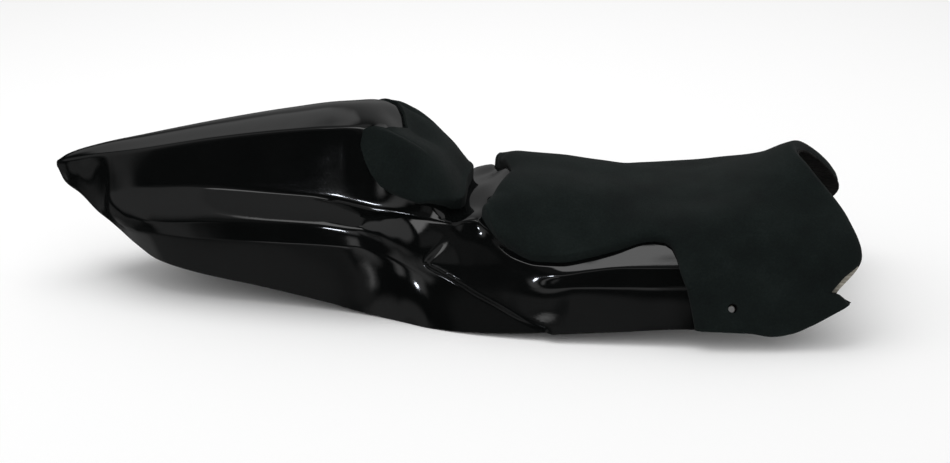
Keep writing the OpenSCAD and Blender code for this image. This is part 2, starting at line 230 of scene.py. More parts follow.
def filleted(s, t):
    """Section averaged over a few millimetres across, so that a crease is a small round as in a mould."""
    p = rails(s)
    size = np.linalg.norm(np.diff(p, axis=-2), axis=-1)
    k = np.clip(t - 0.5, 0, 4)
    low = np.clip(np.floor(k).astype(int), 0, 3)[..., None]
    share = (k[..., None] - low)
    here = (np.take_along_axis(size, low, -1) * (1 - share)
            + np.take_along_axis(size, low + 1, -1) * share)[..., 0]
    wide = np.minimum(np.minimum(FILLET / here, 0.45), 5 - t)
    total = 0
    for tap, weight in FILLET_TAPS:
        at = t + tap * wide
        point = section(p, s, np.abs(at))
        total = total + weight * point * np.where(at < 0, -1, 1)[..., None] ** np.array([0, 1, 0])
    return total / sum(weight for _, weight in FILLET_TAPS)


# %% [markdown]
# Three things stand out of the plain sections. The front panel of each flank is raised, as if a second
# moulding lay over the first: its rear edge is a path seen from the side, and every point ahead of
# that path is pushed outwards. A shallow seam runs along the foot of the hump. And the top of each
# side pod leans outwards near its front end.

# %% The raised front panel, the seam and the leaning pod
PANEL_LIFT, PANEL_STEP = 7.0, 8.5                          # how proud it stands, and the step's width
PANEL_REACH = (-60, 232)                                   # stations that it touches
PANEL_FADE, PANEL_FADE_LENGTH = 50, 180                    # it dies away forwards from this station
PANEL_TOP, PANEL_TOP_HEIGHT = 62, 36                       # and upwards from this height
SEAM_DEPTH, SEAM_AT, SEAM_WIDE = 1.4, 2.06, 0.055          # depth in mm, place, half width in places
SEAM_RUN = (-140, 30, 28, 16)                              # stations: from, eased over, until, over
SEAM_IN, SEAM_DOWN = 0.5, 0.85                             # shares of the depth, sideways and down
LEAN, LEAN_RUN = 3, (-130, 45, -30, 40)                    # drop of the pod's shoulder, and stations


def smooth_path(points, pieces):
    """Cubic through points, whose slope at each one is half the run between its neighbours."""
    slope = np.gradient(points, axis=0)
    u = np.linspace(0, len(points) - 1, pieces + 1)
    i = np.minimum(u.astype(int), len(points) - 2)
    return blend4((u - i)[:, None], points[i], slope[i], points[i + 1], slope[i + 1])


def ahead_of(path, x, z):
    """Distance of (x, z) from a path, positive on the side ahead of it and negative behind."""
    best, side = np.full(x.shape, 1e6), np.zeros(x.shape)
    for (ax, az), (bx, bz) in zip(path[:-1], path[1:]):
        vx, vz = bx - ax, bz - az
        u = np.clip(((x - ax) * vx + (z - az) * vz) / (vx * vx + vz * vz), 0, 1)
        wx, wz = x - ax - vx * u, z - az - vz * u
        gap = np.hypot(wx, wz)
        closer = gap < best
        best, side = np.where(closer, gap, best), np.where(closer, vx * wz - vz * wx, side)
    return best * np.sign(side)


PANEL_PATH = smooth_path(PANEL_EDGE, 54)


def skin(s, t):
    """Point of the outer skin at station s and place t across, in millimetres: the filleted section,
    pushed sideways ahead of the panel's edge, lowered near the pod's shoulder, and pressed inwards
    and down along the seam."""
    q, place = filleted(s, np.abs(t)), np.abs(t)
    x, z = q[..., 0], q[..., 2]
    near = (x > PANEL_REACH[0]) & (x < PANEL_REACH[1]) & (place > 2)
    lift = np.zeros(x.shape)
    gap = ahead_of(PANEL_PATH, x[near], z[near])
    lift[near] = (PANEL_LIFT * ease(gap / PANEL_STEP) * (1 - ease((x[near] - PANEL_FADE) / PANEL_FADE_LENGTH))
                  * (1 - ease((z[near] - PANEL_TOP) / PANEL_TOP_HEIGHT)))
    out = q.copy()
    out[..., 1] = np.sign(t) * (q[..., 1] + lift * np.clip((place - 2) * 3, 0, 1))
    lean = LEAN * between(s, *LEAN_RUN) * ease(1 - np.abs(place - 3))
    seam = SEAM_DEPTH * between(s, *SEAM_RUN) * ease(1 - np.abs(place - SEAM_AT) / SEAM_WIDE)
    out[..., 1] -= np.sign(t) * SEAM_IN * seam
    out[..., 2] -= lean + SEAM_DOWN * seam
    return out + DATUM


def unit(v):
    """Each vector divided by its own length."""
    return v / np.linalg.norm(v, axis=-1, keepdims=True)


def facing(s, t):
    """Direction out of the shell: along the body crossed with across the body, made one unit long.
    Both are measured over a short step, 2 mm either way along and 0.04 places either way across."""
    along = skin(np.minimum(s + 2, FRONT), t) - skin(np.maximum(s - 2, TAIL), t)
    over = skin(s, np.minimum(t + 0.04, 5)) - skin(s, np.maximum(t - 0.04, -5))
    return unit(np.cross(along, over))


def refine(values, parts):
    """The same run of numbers with each gap cut into equal parts."""
    values = np.asarray(values, float)
    return np.interp(np.arange((len(values) - 1) * parts + 1) / parts, np.arange(len(values)), values)


print("top centre above the hump, mm:", skin(np.array([-95.0]), np.array([0.0]))[0].round(1))

# %% [markdown]
# Colours are written as sRGB hex values, as a colour picker shows them, and Blender wants linear light,
# so one function turns them round. One more function adds a shader node with its settings and its
# links, and every finish below is built with it.

# %% Helpers for finishes
def linear(hex_colour):
    """sRGB hex to linear light: v / 12.92 below 0.04045, else ((v + 0.055) / 1.055) to the power 2.4."""
    v = np.array([int(hex_colour[i:i + 2], 16) / 255 for i in (1, 3, 5)])
    v = np.where(v <= 0.04045, v / 12.92, ((v + 0.055) / 1.055) ** 2.4)
    return (*[float(c) for c in v], 1.0)


def node(tree, kind, settings=None, **inputs):
    """Adds a node. settings are its properties. inputs are values or sockets, by the name on the node
    with _ for a space, or by number as i0, i1 and so on."""
    n = tree.nodes.new("ShaderNode" + kind)
    for key, value in (settings or {}).items():
        setattr(n, key, value)
    for key, value in inputs.items():
        name = key.replace("_", " ")
        plug = n.inputs[int(key[1:])] if key[0] == "i" and key[1:].isdigit() else n.inputs[name]
        if isinstance(value, bpy.types.NodeSocket):
            tree.links.new(value, plug)
        else:
            plug.default_value = value
    return n


def finish(name):
    """A new material with only its output: returns it, its node tree and the output."""
    material = bpy.data.materials.new(name)
    material.use_nodes = True
    material.node_tree.nodes.clear()
    return material, material.node_tree, node(material.node_tree, "OutputMaterial")


def ramp(tree, value, stops):
    """Colour ramp through (place, hex colour) stops."""
    n = node(tree, "ValToRGB", Fac=value)
    band = n.color_ramp.elements
    while len(band) < len(stops):
        band.new(0.5)
    for element, (place, colour) in zip(band, stops):
        element.position, element.color = place, linear(colour)
    return n.outputs["Color"]


def spread(tree, value, low, high, new_low, new_high):
    """Map Range from low..high to new_low..new_high."""
    return node(tree, "MapRange", i0=value, i1=low, i2=high, i3=new_low, i4=new_high).outputs[0]


# %% [markdown]
# Gelcoat is pigmented polyester brushed into a waxed mould, so it comes out almost as smooth as the
# mould: a hard clear-looking black with faint orange peel of a few millimetres, a slow waviness where
# the laminate behind it shrank, and a little dust and fine rub marks that only show in a highlight.
# A noise scale is the number of patterns in a metre: 330 is an orange peel of 3 mm, 28 a waviness of
# 36 mm, 9 a clouding of 110 mm, 900 dust of about 1 mm, and 14 by 260 rub marks 70 by 4 mm.

# %% Gelcoat
def gelcoat():
    """Black gloss: colour from the clouding, roughness from dust times rub marks, two bumps in line."""
    material, tree, out = finish("black_gelcoat")
    place = node(tree, "TexCoord").outputs["Object"]
    blotch = node(tree, "TexNoise", Vector=place, Scale=9.0, Detail=3.0).outputs["Fac"]
    dust = node(tree, "TexNoise", Vector=place, Scale=900.0, Detail=2.0).outputs["Fac"]
    streak = node(tree, "Mapping", Vector=place, Scale=(14.0, 260.0, 260.0))
    rub = node(tree, "TexNoise", Vector=streak.outputs[0], Scale=1.0, Detail=4.0).outputs["Fac"]
    colour = ramp(tree, blotch, [(0.3, "#060707"), (0.7, "#0b0c0c")])
    marks = node(tree, "Math", {"operation": "MULTIPLY"}, i0=spread(tree, dust, 0.45, 0.75, 0.0, 1.0),
                 i1=spread(tree, rub, 0.4, 0.7, 0.2, 1.0)).outputs[0]
    rough = spread(tree, marks, 0.0, 1.0, 0.055, 0.14)
    peel = node(tree, "TexNoise", Vector=place, Scale=330.0, Detail=1.0).outputs["Fac"]
    wave = node(tree, "TexNoise", Vector=place, Scale=28.0, Detail=1.0).outputs["Fac"]
    fine = node(tree, "Bump", Strength=1.0, Distance=0.000012, Height=peel)
    slow = node(tree, "Bump", Strength=1.0, Distance=0.00025, Height=wave, Normal=fine.outputs[0])
    shade = node(tree, "BsdfPrincipled", Base_Color=colour, Roughness=rough, IOR=1.52,
                 Normal=slow.outputs[0])
    tree.links.new(shade.outputs[0], out.inputs["Surface"])
    return material


# %% [markdown]
# The back of the laminate is chopped strand mat wetted out with black resin: strands some 50 mm long
# and under a millimetre wide lie at every angle and show as paler threads in a dull, lumpy surface. A
# trimmed edge shows the glass itself, pale and greenish brown, sanded to a matt finish. Noise
# stretched to 30 by 620 in a metre gives threads 33 by 1.6 mm, laid in four directions.

# %% Raw laminate
def raw_laminate(name, base, thread, roughness, depth):
    """Strand mat from base to thread colour: the brightest of four layers of threads, times lumps of
    17 mm; the height is threads plus twice the lumps, depth metres deep."""
    material, tree, out = finish(name)
    place = node(tree, "TexCoord").outputs["Object"]
    threads = 0.0
    for turn in (0.3, 1.25, 2.3, 2.9):
        lay = node(tree, "Mapping", Vector=place, Rotation=(0.4 * turn, 0.7 * turn, turn),
                   Scale=(30.0, 620.0, 620.0))
        grain = node(tree, "TexNoise", Vector=lay.outputs[0], Scale=1.0, Detail=1.0).outputs["Fac"]
        threads = node(tree, "Math", {"operation": "MAXIMUM"}, i0=threads,
                       i1=spread(tree, grain, 0.56, 0.72, 0.0, 1.0)).outputs[0]
    lumps = node(tree, "TexNoise", Vector=place, Scale=60.0, Detail=3.0).outputs["Fac"]
    shown = node(tree, "Math", {"operation": "MULTIPLY"}, i0=threads, i1=lumps).outputs[0]
    colour = ramp(tree, shown, [(0.0, base), (0.8, thread)])
    height = node(tree, "Math", {"operation": "ADD"}, i0=threads,
                  i1=spread(tree, lumps, 0.0, 1.0, 0.0, 2.0)).outputs[0]
    bump = node(tree, "Bump", Strength=1.0, Distance=depth, Height=height)
    shade = node(tree, "BsdfPrincipled", Base_Color=colour, Roughness=roughness,
                 Normal=bump.outputs[0])
    tree.links.new(shade.outputs[0], out.inputs["Surface"])
    return material


# %% [markdown]
# The pads are closed-cell foam, a rubbery sheet split to 12 and 14 mm. Its cut face is a skin of tiny
# cells about half a millimetre wide, drawn here at just over one so that they show, with a matt
# black that turns a little grey-green where it catches dust. It mirrors almost nothing.

# %% Foam
def closed_cell_foam():
    """Matt foam: colour from clouds of 45 mm and grit of 2 mm, height from cells of 1.2 mm and grit."""
    material, tree, out = finish("closed_cell_foam")
    place = node(tree, "TexCoord").outputs["Object"]
    cells = node(tree, "TexVoronoi", Vector=place, Scale=850.0).outputs["Distance"]
    grit = node(tree, "TexNoise", Vector=place, Scale=420.0, Detail=4.0).outputs["Fac"]
    cloud = node(tree, "TexNoise", Vector=place, Scale=22.0, Detail=5.0).outputs["Fac"]
    mixed = node(tree, "Math", {"operation": "ADD"}, i0=spread(tree, cloud, 0.3, 0.7, 0.0, 0.6),
                 i1=spread(tree, grit, 0.3, 0.7, 0.0, 0.4)).outputs[0]
    colour = ramp(tree, mixed, [(0.1, "#0f1313"), (0.5, "#121817"), (0.9, "#181e1d")])
    height = node(tree, "Math", {"operation": "ADD"}, i0=cells, i1=grit).outputs[0]
    bump = node(tree, "Bump", Strength=0.7, Distance=0.0003, Height=height)
    shade = node(tree, "BsdfPrincipled", Base_Color=colour, Roughness=0.95, Sheen_Weight=0.03,
                 Sheen_Roughness=0.5, Normal=bump.outputs[0])
    shade.inputs["Specular IOR Level"].default_value = 0.08
    tree.links.new(shade.outputs[0], out.inputs["Surface"])
    return material


GELCOAT = gelcoat()
BACK = raw_laminate("raw_glass_laminate", "#0f0e0d", "#2a2621", 0.5, 0.0006)
EDGE = raw_laminate("bare_laminate_edge", "#8f8a7e", "#c4beb0", 0.75, 0.0002)
FOAM = closed_cell_foam()
print("finishes:", [m.name for m in (GELCOAT, BACK, EDGE, FOAM)])


# %% [markdown]
# A surface is handed to Blender as two arrays, its points and its faces. A face is a row of four point
# numbers, and a row of three is a triangle. Shading is smooth, with an edge kept sharp where the
# faces beside it turn by more than a set angle.

# %% From arrays to a mesh
def make_piece(name, points, quads, triangles, slots, quad_slots, triangle_slots, sharp=38):
    """A mesh object in metres from points in millimetres. Points that no face uses are left out."""
    used = np.zeros(len(points), bool)
    used[np.concatenate([quads.ravel(), triangles.ravel()])] = True
    number = np.cumsum(used) - 1
    corners = number[np.concatenate([quads.ravel(), triangles.ravel()])]
    sizes = np.concatenate([np.full(len(quads), 4), np.full(len(triangles), 3)])
    mesh = bpy.data.meshes.new(name)
    mesh.vertices.add(int(used.sum()))
    mesh.vertices.foreach_set("co", (points[used] * MM).ravel())
    mesh.loops.add(len(corners))
    mesh.loops.foreach_set("vertex_index", corners.astype(np.int32))
    mesh.polygons.add(len(sizes))
    mesh.polygons.foreach_set("loop_start", np.concatenate([[0], np.cumsum(sizes)[:-1]]).astype(np.int32))
    for material in slots:
        mesh.materials.append(material)
    mesh.polygons.foreach_set("material_index",
                              np.concatenate([quad_slots, triangle_slots]).astype(np.int32))
    mesh.update(calc_edges=True)
    mesh.validate()
    mesh.shade_smooth()
    mesh.set_sharp_from_angle(angle=math.radians(sharp))
    piece = bpy.data.objects.new(name, mesh)
    bpy.context.scene.collection.objects.link(piece)
    print(name, "vertices", len(mesh.vertices), "triangles", int((sizes - 2).sum()))
    return piece


def strip(first, second):
    """Quads between two rows of point numbers: first[j], second[j], second[j + 1], first[j + 1]."""
    return np.stack([first[:-1], second[:-1], second[1:], first[1:]], -1).reshape(-1, 4)


def grid_quads(numbers):
    """Quads of a whole grid of point numbers, facing the way that rows cross columns."""
    corners = numbers[:-1, :-1], numbers[1:, :-1], numbers[1:, 1:], numbers[:-1, 1:]
    return np.stack(corners, -1).reshape(-1, 4)


# %% [markdown]
# The moulding is one closed skin: the glossy outside, the rough inside 3 mm behind it, and the cut
# rim between them with a small chamfer on both of its edges. The rows are closest where the front
# panel steps up, and the columns on either side of each line. The inside is seen less, so it takes
# every second row and column. The last 22 mm of the tail is solid, where the two sides meet.

# %% The moulding's grid
WALL = 3.0
BARE_FROM, BARE_PLACES = 384.0, (3.25, 4)    # each wing's tip has no gelcoat ahead of this station
# Rows as (station, equal steps to the next) and columns as (place, equal steps to the next)
RUNS = ((-449, 12), (-428, 46), (-340, 62), (-90, 28), (-35, 132), (140, 44), (300, 40), (389, 0))
STEPS = ((0, 9), (0.86, 8), (1.14, 12), (1.9, 8), (2.1, 14), (2.88, 8), (3.12, 14), (3.88, 8), (4.12, 19),
         (5, 0))


def spaced(table):
    """Numbers along a row: from each value to the next in as many equal steps as it says."""
    return np.concatenate([np.linspace(a, b, count, endpoint=False) for (a, count), (b, _) in
                           zip(table[:-1], table[1:])] + [[table[-1][0]]])


rows = spaced(RUNS)
half = spaced(STEPS)
places = np.concatenate([-half[:0:-1], half])
HOLLOW = RUNS[0][1]
outer = skin(rows[:, None] + 0 * places, places + 0 * rows[:, None])
even = unit(np.cross(np.gradient(outer, axis=0), np.gradient(outer, axis=1)))
for _ in range(3):    # each direction out is averaged with its neighbours', which keeps the wall even
    even[1:-1, 1:-1] = (even[1:-1, 1:-1] * 2 + even[:-2, 1:-1] + even[2:, 1:-1]
                        + even[1:-1, :-2] + even[1:-1, 2:]) / 6
inner = outer[HOLLOW:] - unit(even)[HOLLOW:] * WALL
print("moulding grid", outer.shape[:2], "hollow from row", HOLLOW)
assert (len(rows) - HOLLOW) % 2 == 1 and (len(places) - 1) % 4 == 0


# %% Close the moulding
RIM_AT, RIM_PROUD = (0.15, 0.85), 0.4    # shares of the wall, and millimetres
TIP_PROUD = 0.8                          # the middle of the tail's end stands out by this, mm


def rim(outside, inside, outwards):
    """Two points between the outside and the inside edge: 15 and 85 percent across, 0.4 mm outwards."""
    return [outside + (inside - outside) * at + outwards * RIM_PROUD for at in RIM_AT]


def halving(fine_row, coarse_row):
    """Triangles between a row and one with half as many points, three for each pair of fine steps."""
    a, b, c, p, q = fine_row[:-2:2], fine_row[1::2], fine_row[2::2], coarse_row[:-1], coarse_row[1:]
    return np.concatenate([np.stack(corners, -1) for corners in ((a, p, b), (b, p, q), (b, q, c))])


row_count, column_count = outer.shape[:2]
last = column_count - 1
near_rim = rim(outer[HOLLOW:, 0], inner[:, 0], unit(outer[HOLLOW:, 0] - outer[HOLLOW:, 1]))
far_rim = rim(outer[HOLLOW:, last], inner[:, last], unit(outer[HOLLOW:, last] - outer[HOLLOW:, last - 1]))
front_rim = rim(outer[-1], inner[-1], unit(outer[-1] - outer[-2]))
tip = outer[0].mean(0) + np.array([-TIP_PROUD, 0, 0])

# All the points in one array, and for each block the numbers that its points get there
coarse = inner[::2, ::2]
blocks = [outer.reshape(-1, 3), coarse.reshape(-1, 3), *near_rim, *far_rim, *front_rim, tip[None]]
starts = np.concatenate([[0], np.cumsum([len(block) for block in blocks])])
outside_no = np.arange(row_count * column_count).reshape(row_count, column_count)
inside_no = starts[1] + np.arange(coarse.shape[0] * coarse.shape[1]).reshape(coarse.shape[:2])
near_outer, near_inner, far_outer, far_inner, front_outer, front_inner = [
    starts[k] + np.arange(len(blocks[k])) for k in range(2, 8)]
near_outer[-1], near_inner[-1] = front_outer[0], front_inner[0]
far_outer[-1], far_inner[-1] = front_outer[last], front_inner[last]
tip_no = starts[8]
hollow_no = outside_no[HOLLOW:]

skins = grid_quads(outside_no)
inside = grid_quads(inside_no)[:, ::-1]
cut = np.concatenate([
    strip(hollow_no[:, last], far_outer)[:, ::-1], strip(far_outer, far_inner)[:, ::-1],
    strip(hollow_no[:, 0], near_outer), strip(near_outer, near_inner),
    strip(hollow_no[-1], front_outer), strip(front_outer, front_inner)])
hems = np.concatenate([halving(far_inner, inside_no[:, -1])[:, ::-1], halving(near_inner, inside_no[:, 0]),
                       halving(front_inner, inside_no[-1])])
# The solid tail: its flat underside, the bulkhead where the hollow starts, and a fan round its tip
under = np.stack([outside_no[:HOLLOW, 0], outside_no[:HOLLOW, last], outside_no[1:HOLLOW + 1, last],
                  outside_no[1:HOLLOW + 1, 0]], -1)
step_up = np.array([[hollow_no[0, 0], hollow_no[0, last], far_outer[0], near_outer[0]],
                    [near_outer[0], far_outer[0], far_inner[0], near_inner[0]],
                    [near_inner[0], far_inner[0], inside_no[0, -1], inside_no[0, 0]]])
mid = inside_no.shape[1] // 2
bulkhead = strip(inside_no[0, :mid], inside_no[0, :mid:-1])
top_closer = np.array([[inside_no[0, mid - 1], inside_no[0, mid + 1], inside_no[0, mid]]])
tail_fan = np.stack([np.full(last, tip_no), outside_no[0, :-1], outside_no[0, 1:]], -1)
tail_close = np.array([[tip_no, outside_no[0, last], outside_no[0, 0]]])

# Material numbers: 0 gelcoat, 1 raw laminate, 2 bare edge
wing_tip = (np.abs(places[:-1]) > BARE_PLACES[0]) & (np.abs(places[:-1]) < BARE_PLACES[1])
bare = ((rows[:-1, None] > BARE_FROM) & wing_tip).ravel()
cut_slots = np.ones(len(cut))
cut_slots[-2 * last:] += np.tile(wing_tip, 2)
quads = np.concatenate([skins, inside, cut, under, step_up, bulkhead])
quad_slots = np.concatenate([bare * 2, np.ones(len(inside)), cut_slots, np.zeros(len(under)),
                             np.ones(len(step_up) + len(bulkhead))])
triangles = np.concatenate([top_closer, hems, tail_fan, tail_close])
shell = make_piece("moulded_shell", np.concatenate(blocks), quads, triangles, (GELCOAT, BACK, EDGE),
                   quad_slots, np.concatenate([np.ones(1 + len(hems)), np.zeros(last + 1)]))

# %% [markdown]
# A fixing screw goes through each front flank. The hole is drilled square to the skin, so the drill is
# a closed turned shape along the direction that faces out there, a little wider at the surface where
# the gelcoat chips back, and a boolean takes it away.

# %% Drill the fixing holes
HOLE_STATION, HOLE_PLACE = 317.0, 4.5
HOLE_WIDE, PUNCH_WIDE = 6.6, 10.0    # in the laminate and in the foam, mm
DRILL_SIDES = 48


def drill(side, profile):
    """A turned shape: rings at (distance along, radius) round the axis that faces out at the hole."""
    s, t = np.array([HOLE_STATION]), np.array([side * HOLE_PLACE])
    centre, axis = skin(s, t)[0], facing(s, t)[0]
    one = unit(np.cross(axis, [0, 0, 1.0]))
    two = np.cross(axis, one)
    turn = np.linspace(0, 2 * math.pi, DRILL_SIDES, endpoint=False)
    rings = np.array([centre + axis * along + radius * (np.cos(turn)[:, None] * one
                      + np.sin(turn)[:, None] * two) for along, radius in profile])
    ends = np.array([centre + axis * profile[0][0], centre + axis * profile[-1][0]])
    ring = np.arange(len(profile) * DRILL_SIDES).reshape(len(profile), DRILL_SIDES)
    ring = np.concatenate([ring, ring[:, :1]], 1)
    sides = grid_quads(ring)[:, ::-1]
    a, b = ring.max() + 1, ring.max() + 2
    caps = np.concatenate([np.stack([np.full(DRILL_SIDES, a), ring[0, 1:], ring[0, :-1]], -1),
                           np.stack([np.full(DRILL_SIDES, b), ring[-1, :-1], ring[-1, 1:]], -1)])
    return make_piece("drill", np.concatenate([rings.reshape(-1, 3), ends]), sides, caps,
                      (EDGE, EDGE, EDGE), np.full(len(sides), 2), np.full(len(caps), 2))


def cut_away(piece, tools, sharp=38):
    """Takes the tools out of the piece with boolean modifiers, applies them and deletes the tools."""
    for tool in tools:
        cutter = piece.modifiers.new("cut", "BOOLEAN")
        cutter.operation, cutter.object = "DIFFERENCE", tool
        cutter.solver = "MANIFOLD"
    bpy.context.view_layer.update()
    done = bpy.data.meshes.new_from_object(piece.evaluated_get(bpy.context.evaluated_depsgraph_get()))
    piece.modifiers.clear()
    piece.data = done
    done.shade_smooth()
    done.set_sharp_from_angle(angle=math.radians(sharp))
    for tool in tools:
        bpy.data.objects.remove(tool)
    print(piece.name, "after cutting:", len(done.vertices), "vertices")


RADIUS, CHIPPED = HOLE_WIDE / 2, HOLE_WIDE / 2 + 0.6
HOLE_PROFILE = ((-20, RADIUS), (-0.5, RADIUS), (0.3, CHIPPED), (4, CHIPPED))
cut_away(shell, [drill(side, HOLE_PROFILE) for side in (-1, 1)])
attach(shell, "root")
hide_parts("seat_shell")

# %% [markdown]
# Each pad is a sheet of foam bent over the shell and glued down. It is worked out as two sheets on the
# same grid: the bottom on the skin, and the top pushed out by the thickness times a share that falls
# at the edge, where the foam was cut and rubbed round. The share rises from a low value at the very
# edge, which leaves an upright cut face, along a quarter circle. Cloth simulation could swell a
# cushion, but the real pads are plain sheets of foam with no cover and no seams, glued down all over,
# so they are shaped straight from these functions.

# %% Foam on the skin
GLUE = 0.15        # the foam's underside stands this far off the skin, mm
DENTS = 0.05       # share of the thickness by which it varies
FOAM_SHARP = 50    # edges of the foam that turn by more degrees than this stay sharp
FOAM_SLOTS = (FOAM, FOAM, FOAM)    # three, because the faces that a drill leaves have number 2


def share(edge, width=9.0, low=0.45):
    """Share of the full thickness at a distance from the edge: a quarter circle from low up to 1."""
    return low + (1 - low) * np.sqrt(1 - (1 - np.clip(edge / width, 0, 1)) ** 2)


WAVES, WAVE_LENGTHS = 6, (35, 90)


def unevenness(p, size):
    """Slow dents of hand-cut foam: a sum of six sine waves 35 to 90 mm long in mixed directions."""
    draw = np.random.default_rng(7)
    total = 0
    for _ in range(WAVES):
        way = unit(draw.normal(size=3))
        total = total + np.sin(p @ way * 2 * math.pi / draw.uniform(*WAVE_LENGTHS) + draw.uniform(0, 6.3))
    return size * total / WAVES


def foam_pad(name, s, t, part, use, thick):
    """A closed pad from a grid of stations s and places t, each with its part of the thickness, over
    the cells that use marks: the top sheet, the bottom sheet, and walls round every open edge. The
    thickness points out of the skin. Near the hem it lies level, and at the rear corners it turns up
    as on the pan, so that the pad stands up there and doesn't lean over the edge."""
    base, out = skin(s, t), facing(s, t)
    low = base + out * GLUE
    way = out.copy()
    way[..., 2] *= 1 - ease((np.abs(t) - 4.5) / 0.4)    # level near the hem, from place 4.5
    # The rear corners of the rider's pad: places beyond 1.3, and stations 40 to 120
    corner = (ease((np.abs(t) - 1.3) / 0.3) * (1 - ease((s - 80) / 40)) * (s > 40))[..., None]
    way = way * (1 - corner) + facing(s, np.clip(t, -1.45, 1.45)) * corner
    high = low + unit(way) * (thick * part * (1 + unevenness(base, DENTS)))[..., None]
    top = np.arange(s.size).reshape(s.shape)
    bottom, keep, edge = top + s.size, use.ravel(), np.pad(use, 1)
    sheets = [grid_quads(top)[keep], grid_quads(bottom)[keep][:, ::-1]]
    a, b, c, d = top[:-1, :-1], top[:-1, 1:], top[1:, 1:], top[1:, :-1]
    for first, second, beyond in ((b, a, edge[:-2, 1:-1]), (d, c, edge[2:, 1:-1]),
                                  (a, d, edge[1:-1, :-2]), (c, b, edge[1:-1, 2:])):
        wall = use & ~beyond
        p, q = first[wall], second[wall]
        sheets.append(np.stack([q, p, p + s.size, q + s.size], -1))
    faces = np.concatenate(sheets)
    return make_piece(name, np.concatenate([high.reshape(-1, 3), low.reshape(-1, 3)]), faces,
                      np.zeros((0, 3), int), FOAM_SLOTS, np.zeros(len(faces)), np.zeros(0), FOAM_SHARP)


def mirrored(values):
    """A run of numbers from 0 up, with its mirror image before it."""
    return np.concatenate([-values[:0:-1], values])


# %% [markdown]
# The rider's pad covers the pan and spreads down both flanks at the front, to the hem. Its rear edge is
# a V between two rounded corners, where the foam is fuller. Its near edge hangs a little way down over
# the shoulder, and its front edge is drawn back at the wings' tips, where bare laminate shows. Seen
# flat it is shaped like a T, so its grid has narrow rows behind and full rows in front. A round hole
# is punched in each flank over the fixing hole.

# %% The rider's pad
PAD_THICK = 12.0
PAD_REAR, PAD_CORNER, PAD_ROUND = 76.0, 49.0, 17.0    # stations of the V and of the corners; rounding
PAD_TURN = 236.0                                      # ahead of this station it spreads sideways
PAD_FLANK = np.array([[2, 236], [2.08, 246], [2.3, 254], [2.7, 260], [3.2, 264], [4, 271], [5, 281]], float)
PAN_MM, FLANK_MM = 60, 32                             # millimetres in one place, on pan and flank
HANG, HANG_RUN = 0.13, (80, 30, 190, 40)              # how far the edge hangs, in places; stations
DRAWN, DRAWN_PLACES = 3.2, (3.1, 0.5, 3.9, 0.4)       # how far the front edge is drawn back, mm
FULLER, FULLER_FROM, FULLER_LONG = 0.5, 0.9, 52       # extra share, from this place, dying away in mm


def pad_back(t):
    """Station of the rear edge: a V, from the middle back to the corners, which are rounded."""
    corner = PAD_ROUND * (1 - np.sqrt(1 - np.clip((t - 1.6) / 0.4, 0, 1) ** 2))
    return PAD_REAR + (PAD_CORNER - PAD_REAR) * np.minimum(1, t / 1.7) ** 1.3 + corner


def pad_side(t):
    """Station of the edge that runs down the flank, read between the points of its path."""
    return np.interp(t, PAD_FLANK[:, 0], PAD_FLANK[:, 1])


def pad_front(t):
    """Station of the front edge: 0.5 mm behind the shell's, and further back at the wings' tips."""
    return FRONT - 0.5 - DRAWN * between(t, *DRAWN_PLACES)


# Rows as shares of the way from the rear edge to PAD_TURN, and from there to the front edge
behind = refine([0, 3, 9, 21, 37, 55, 75, 97, 119, 141, 157, 171, 180, 187], 5) / 187
ahead = refine([0, 3, 9, 19, 32, 46, 60, 75, 91, 105, 117, 127, 136, 144, 150, 153], 5)[1:] / 153
over = mirrored(refine([0, 0.35, 0.7, 1, 1.3, 1.55, 1.75, 1.9, 1.965, 2, 2.15, 2.45, 2.85, 3.25, 3.65,
                        4, 4.35, 4.7, 4.93, 5], 5))
row_t = np.abs(over)[None, :]
rear_rows = np.where(row_t > 2, pad_side(row_t) + 0 * behind[:, None],
                     pad_back(row_t) + (PAD_TURN - pad_back(row_t)) * behind[:, None])
turn_from = np.where(row_t > 2, pad_side(row_t), PAD_TURN)
pad_s = np.concatenate([rear_rows, turn_from + (pad_front(row_t) - turn_from) * ahead[:, None]])
pad_t = over + 0 * pad_s
place = np.abs(pad_t)
hang = HANG * between(pad_s, *HANG_RUN) * ease((place - 1.6) / 0.4)

# Its part of the thickness: rounded down at the front edge, and at its edges on the flank and the pan
fore = share((pad_front(place) - pad_s) * 2)
on_flank = share(pad_s - pad_side(place)) * share((5 - place) * FLANK_MM)
fuller = 1 + FULLER * ease((place - FULLER_FROM) / 0.5) * (
    1 - ease((pad_s - pad_back(place) - 8) / FULLER_LONG))
on_pan = fuller * share(pad_s - pad_back(place)) * share(
    np.hypot((2 - place) * PAN_MM, np.maximum(0, pad_s - PAD_TURN)))
pad_part = fore * np.where(place > 2, on_flank, on_pan)

row_no = np.arange(len(pad_s) - 1)[:, None]
cell_place = np.abs(over[:-1] + over[1:])[None, :] / 2
pad_use = (row_no >= len(behind) - 1) | (cell_place < 2)
pad_t = pad_t + np.sign(pad_t) * np.where(place <= 2, hang, 0)
rider_pad = foam_pad("rider_pad", pad_s, pad_t, pad_part, pad_use, PAD_THICK)
PUNCH = ((-20, PUNCH_WIDE / 2), (30, PUNCH_WIDE / 2))
cut_away(rider_pad, [drill(side, PUNCH) for side in (-1, 1)], FOAM_SHARP)
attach(rider_pad, "root")
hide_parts("seat_pad")

# %% [markdown]
# The back stop covers the front of the hump from its crest down to the pan. Its top edge feathers out
# over the crest, with a notch at the middle, its side edges run down past the lid's edge, and its
# bottom edge stands square on the pan.

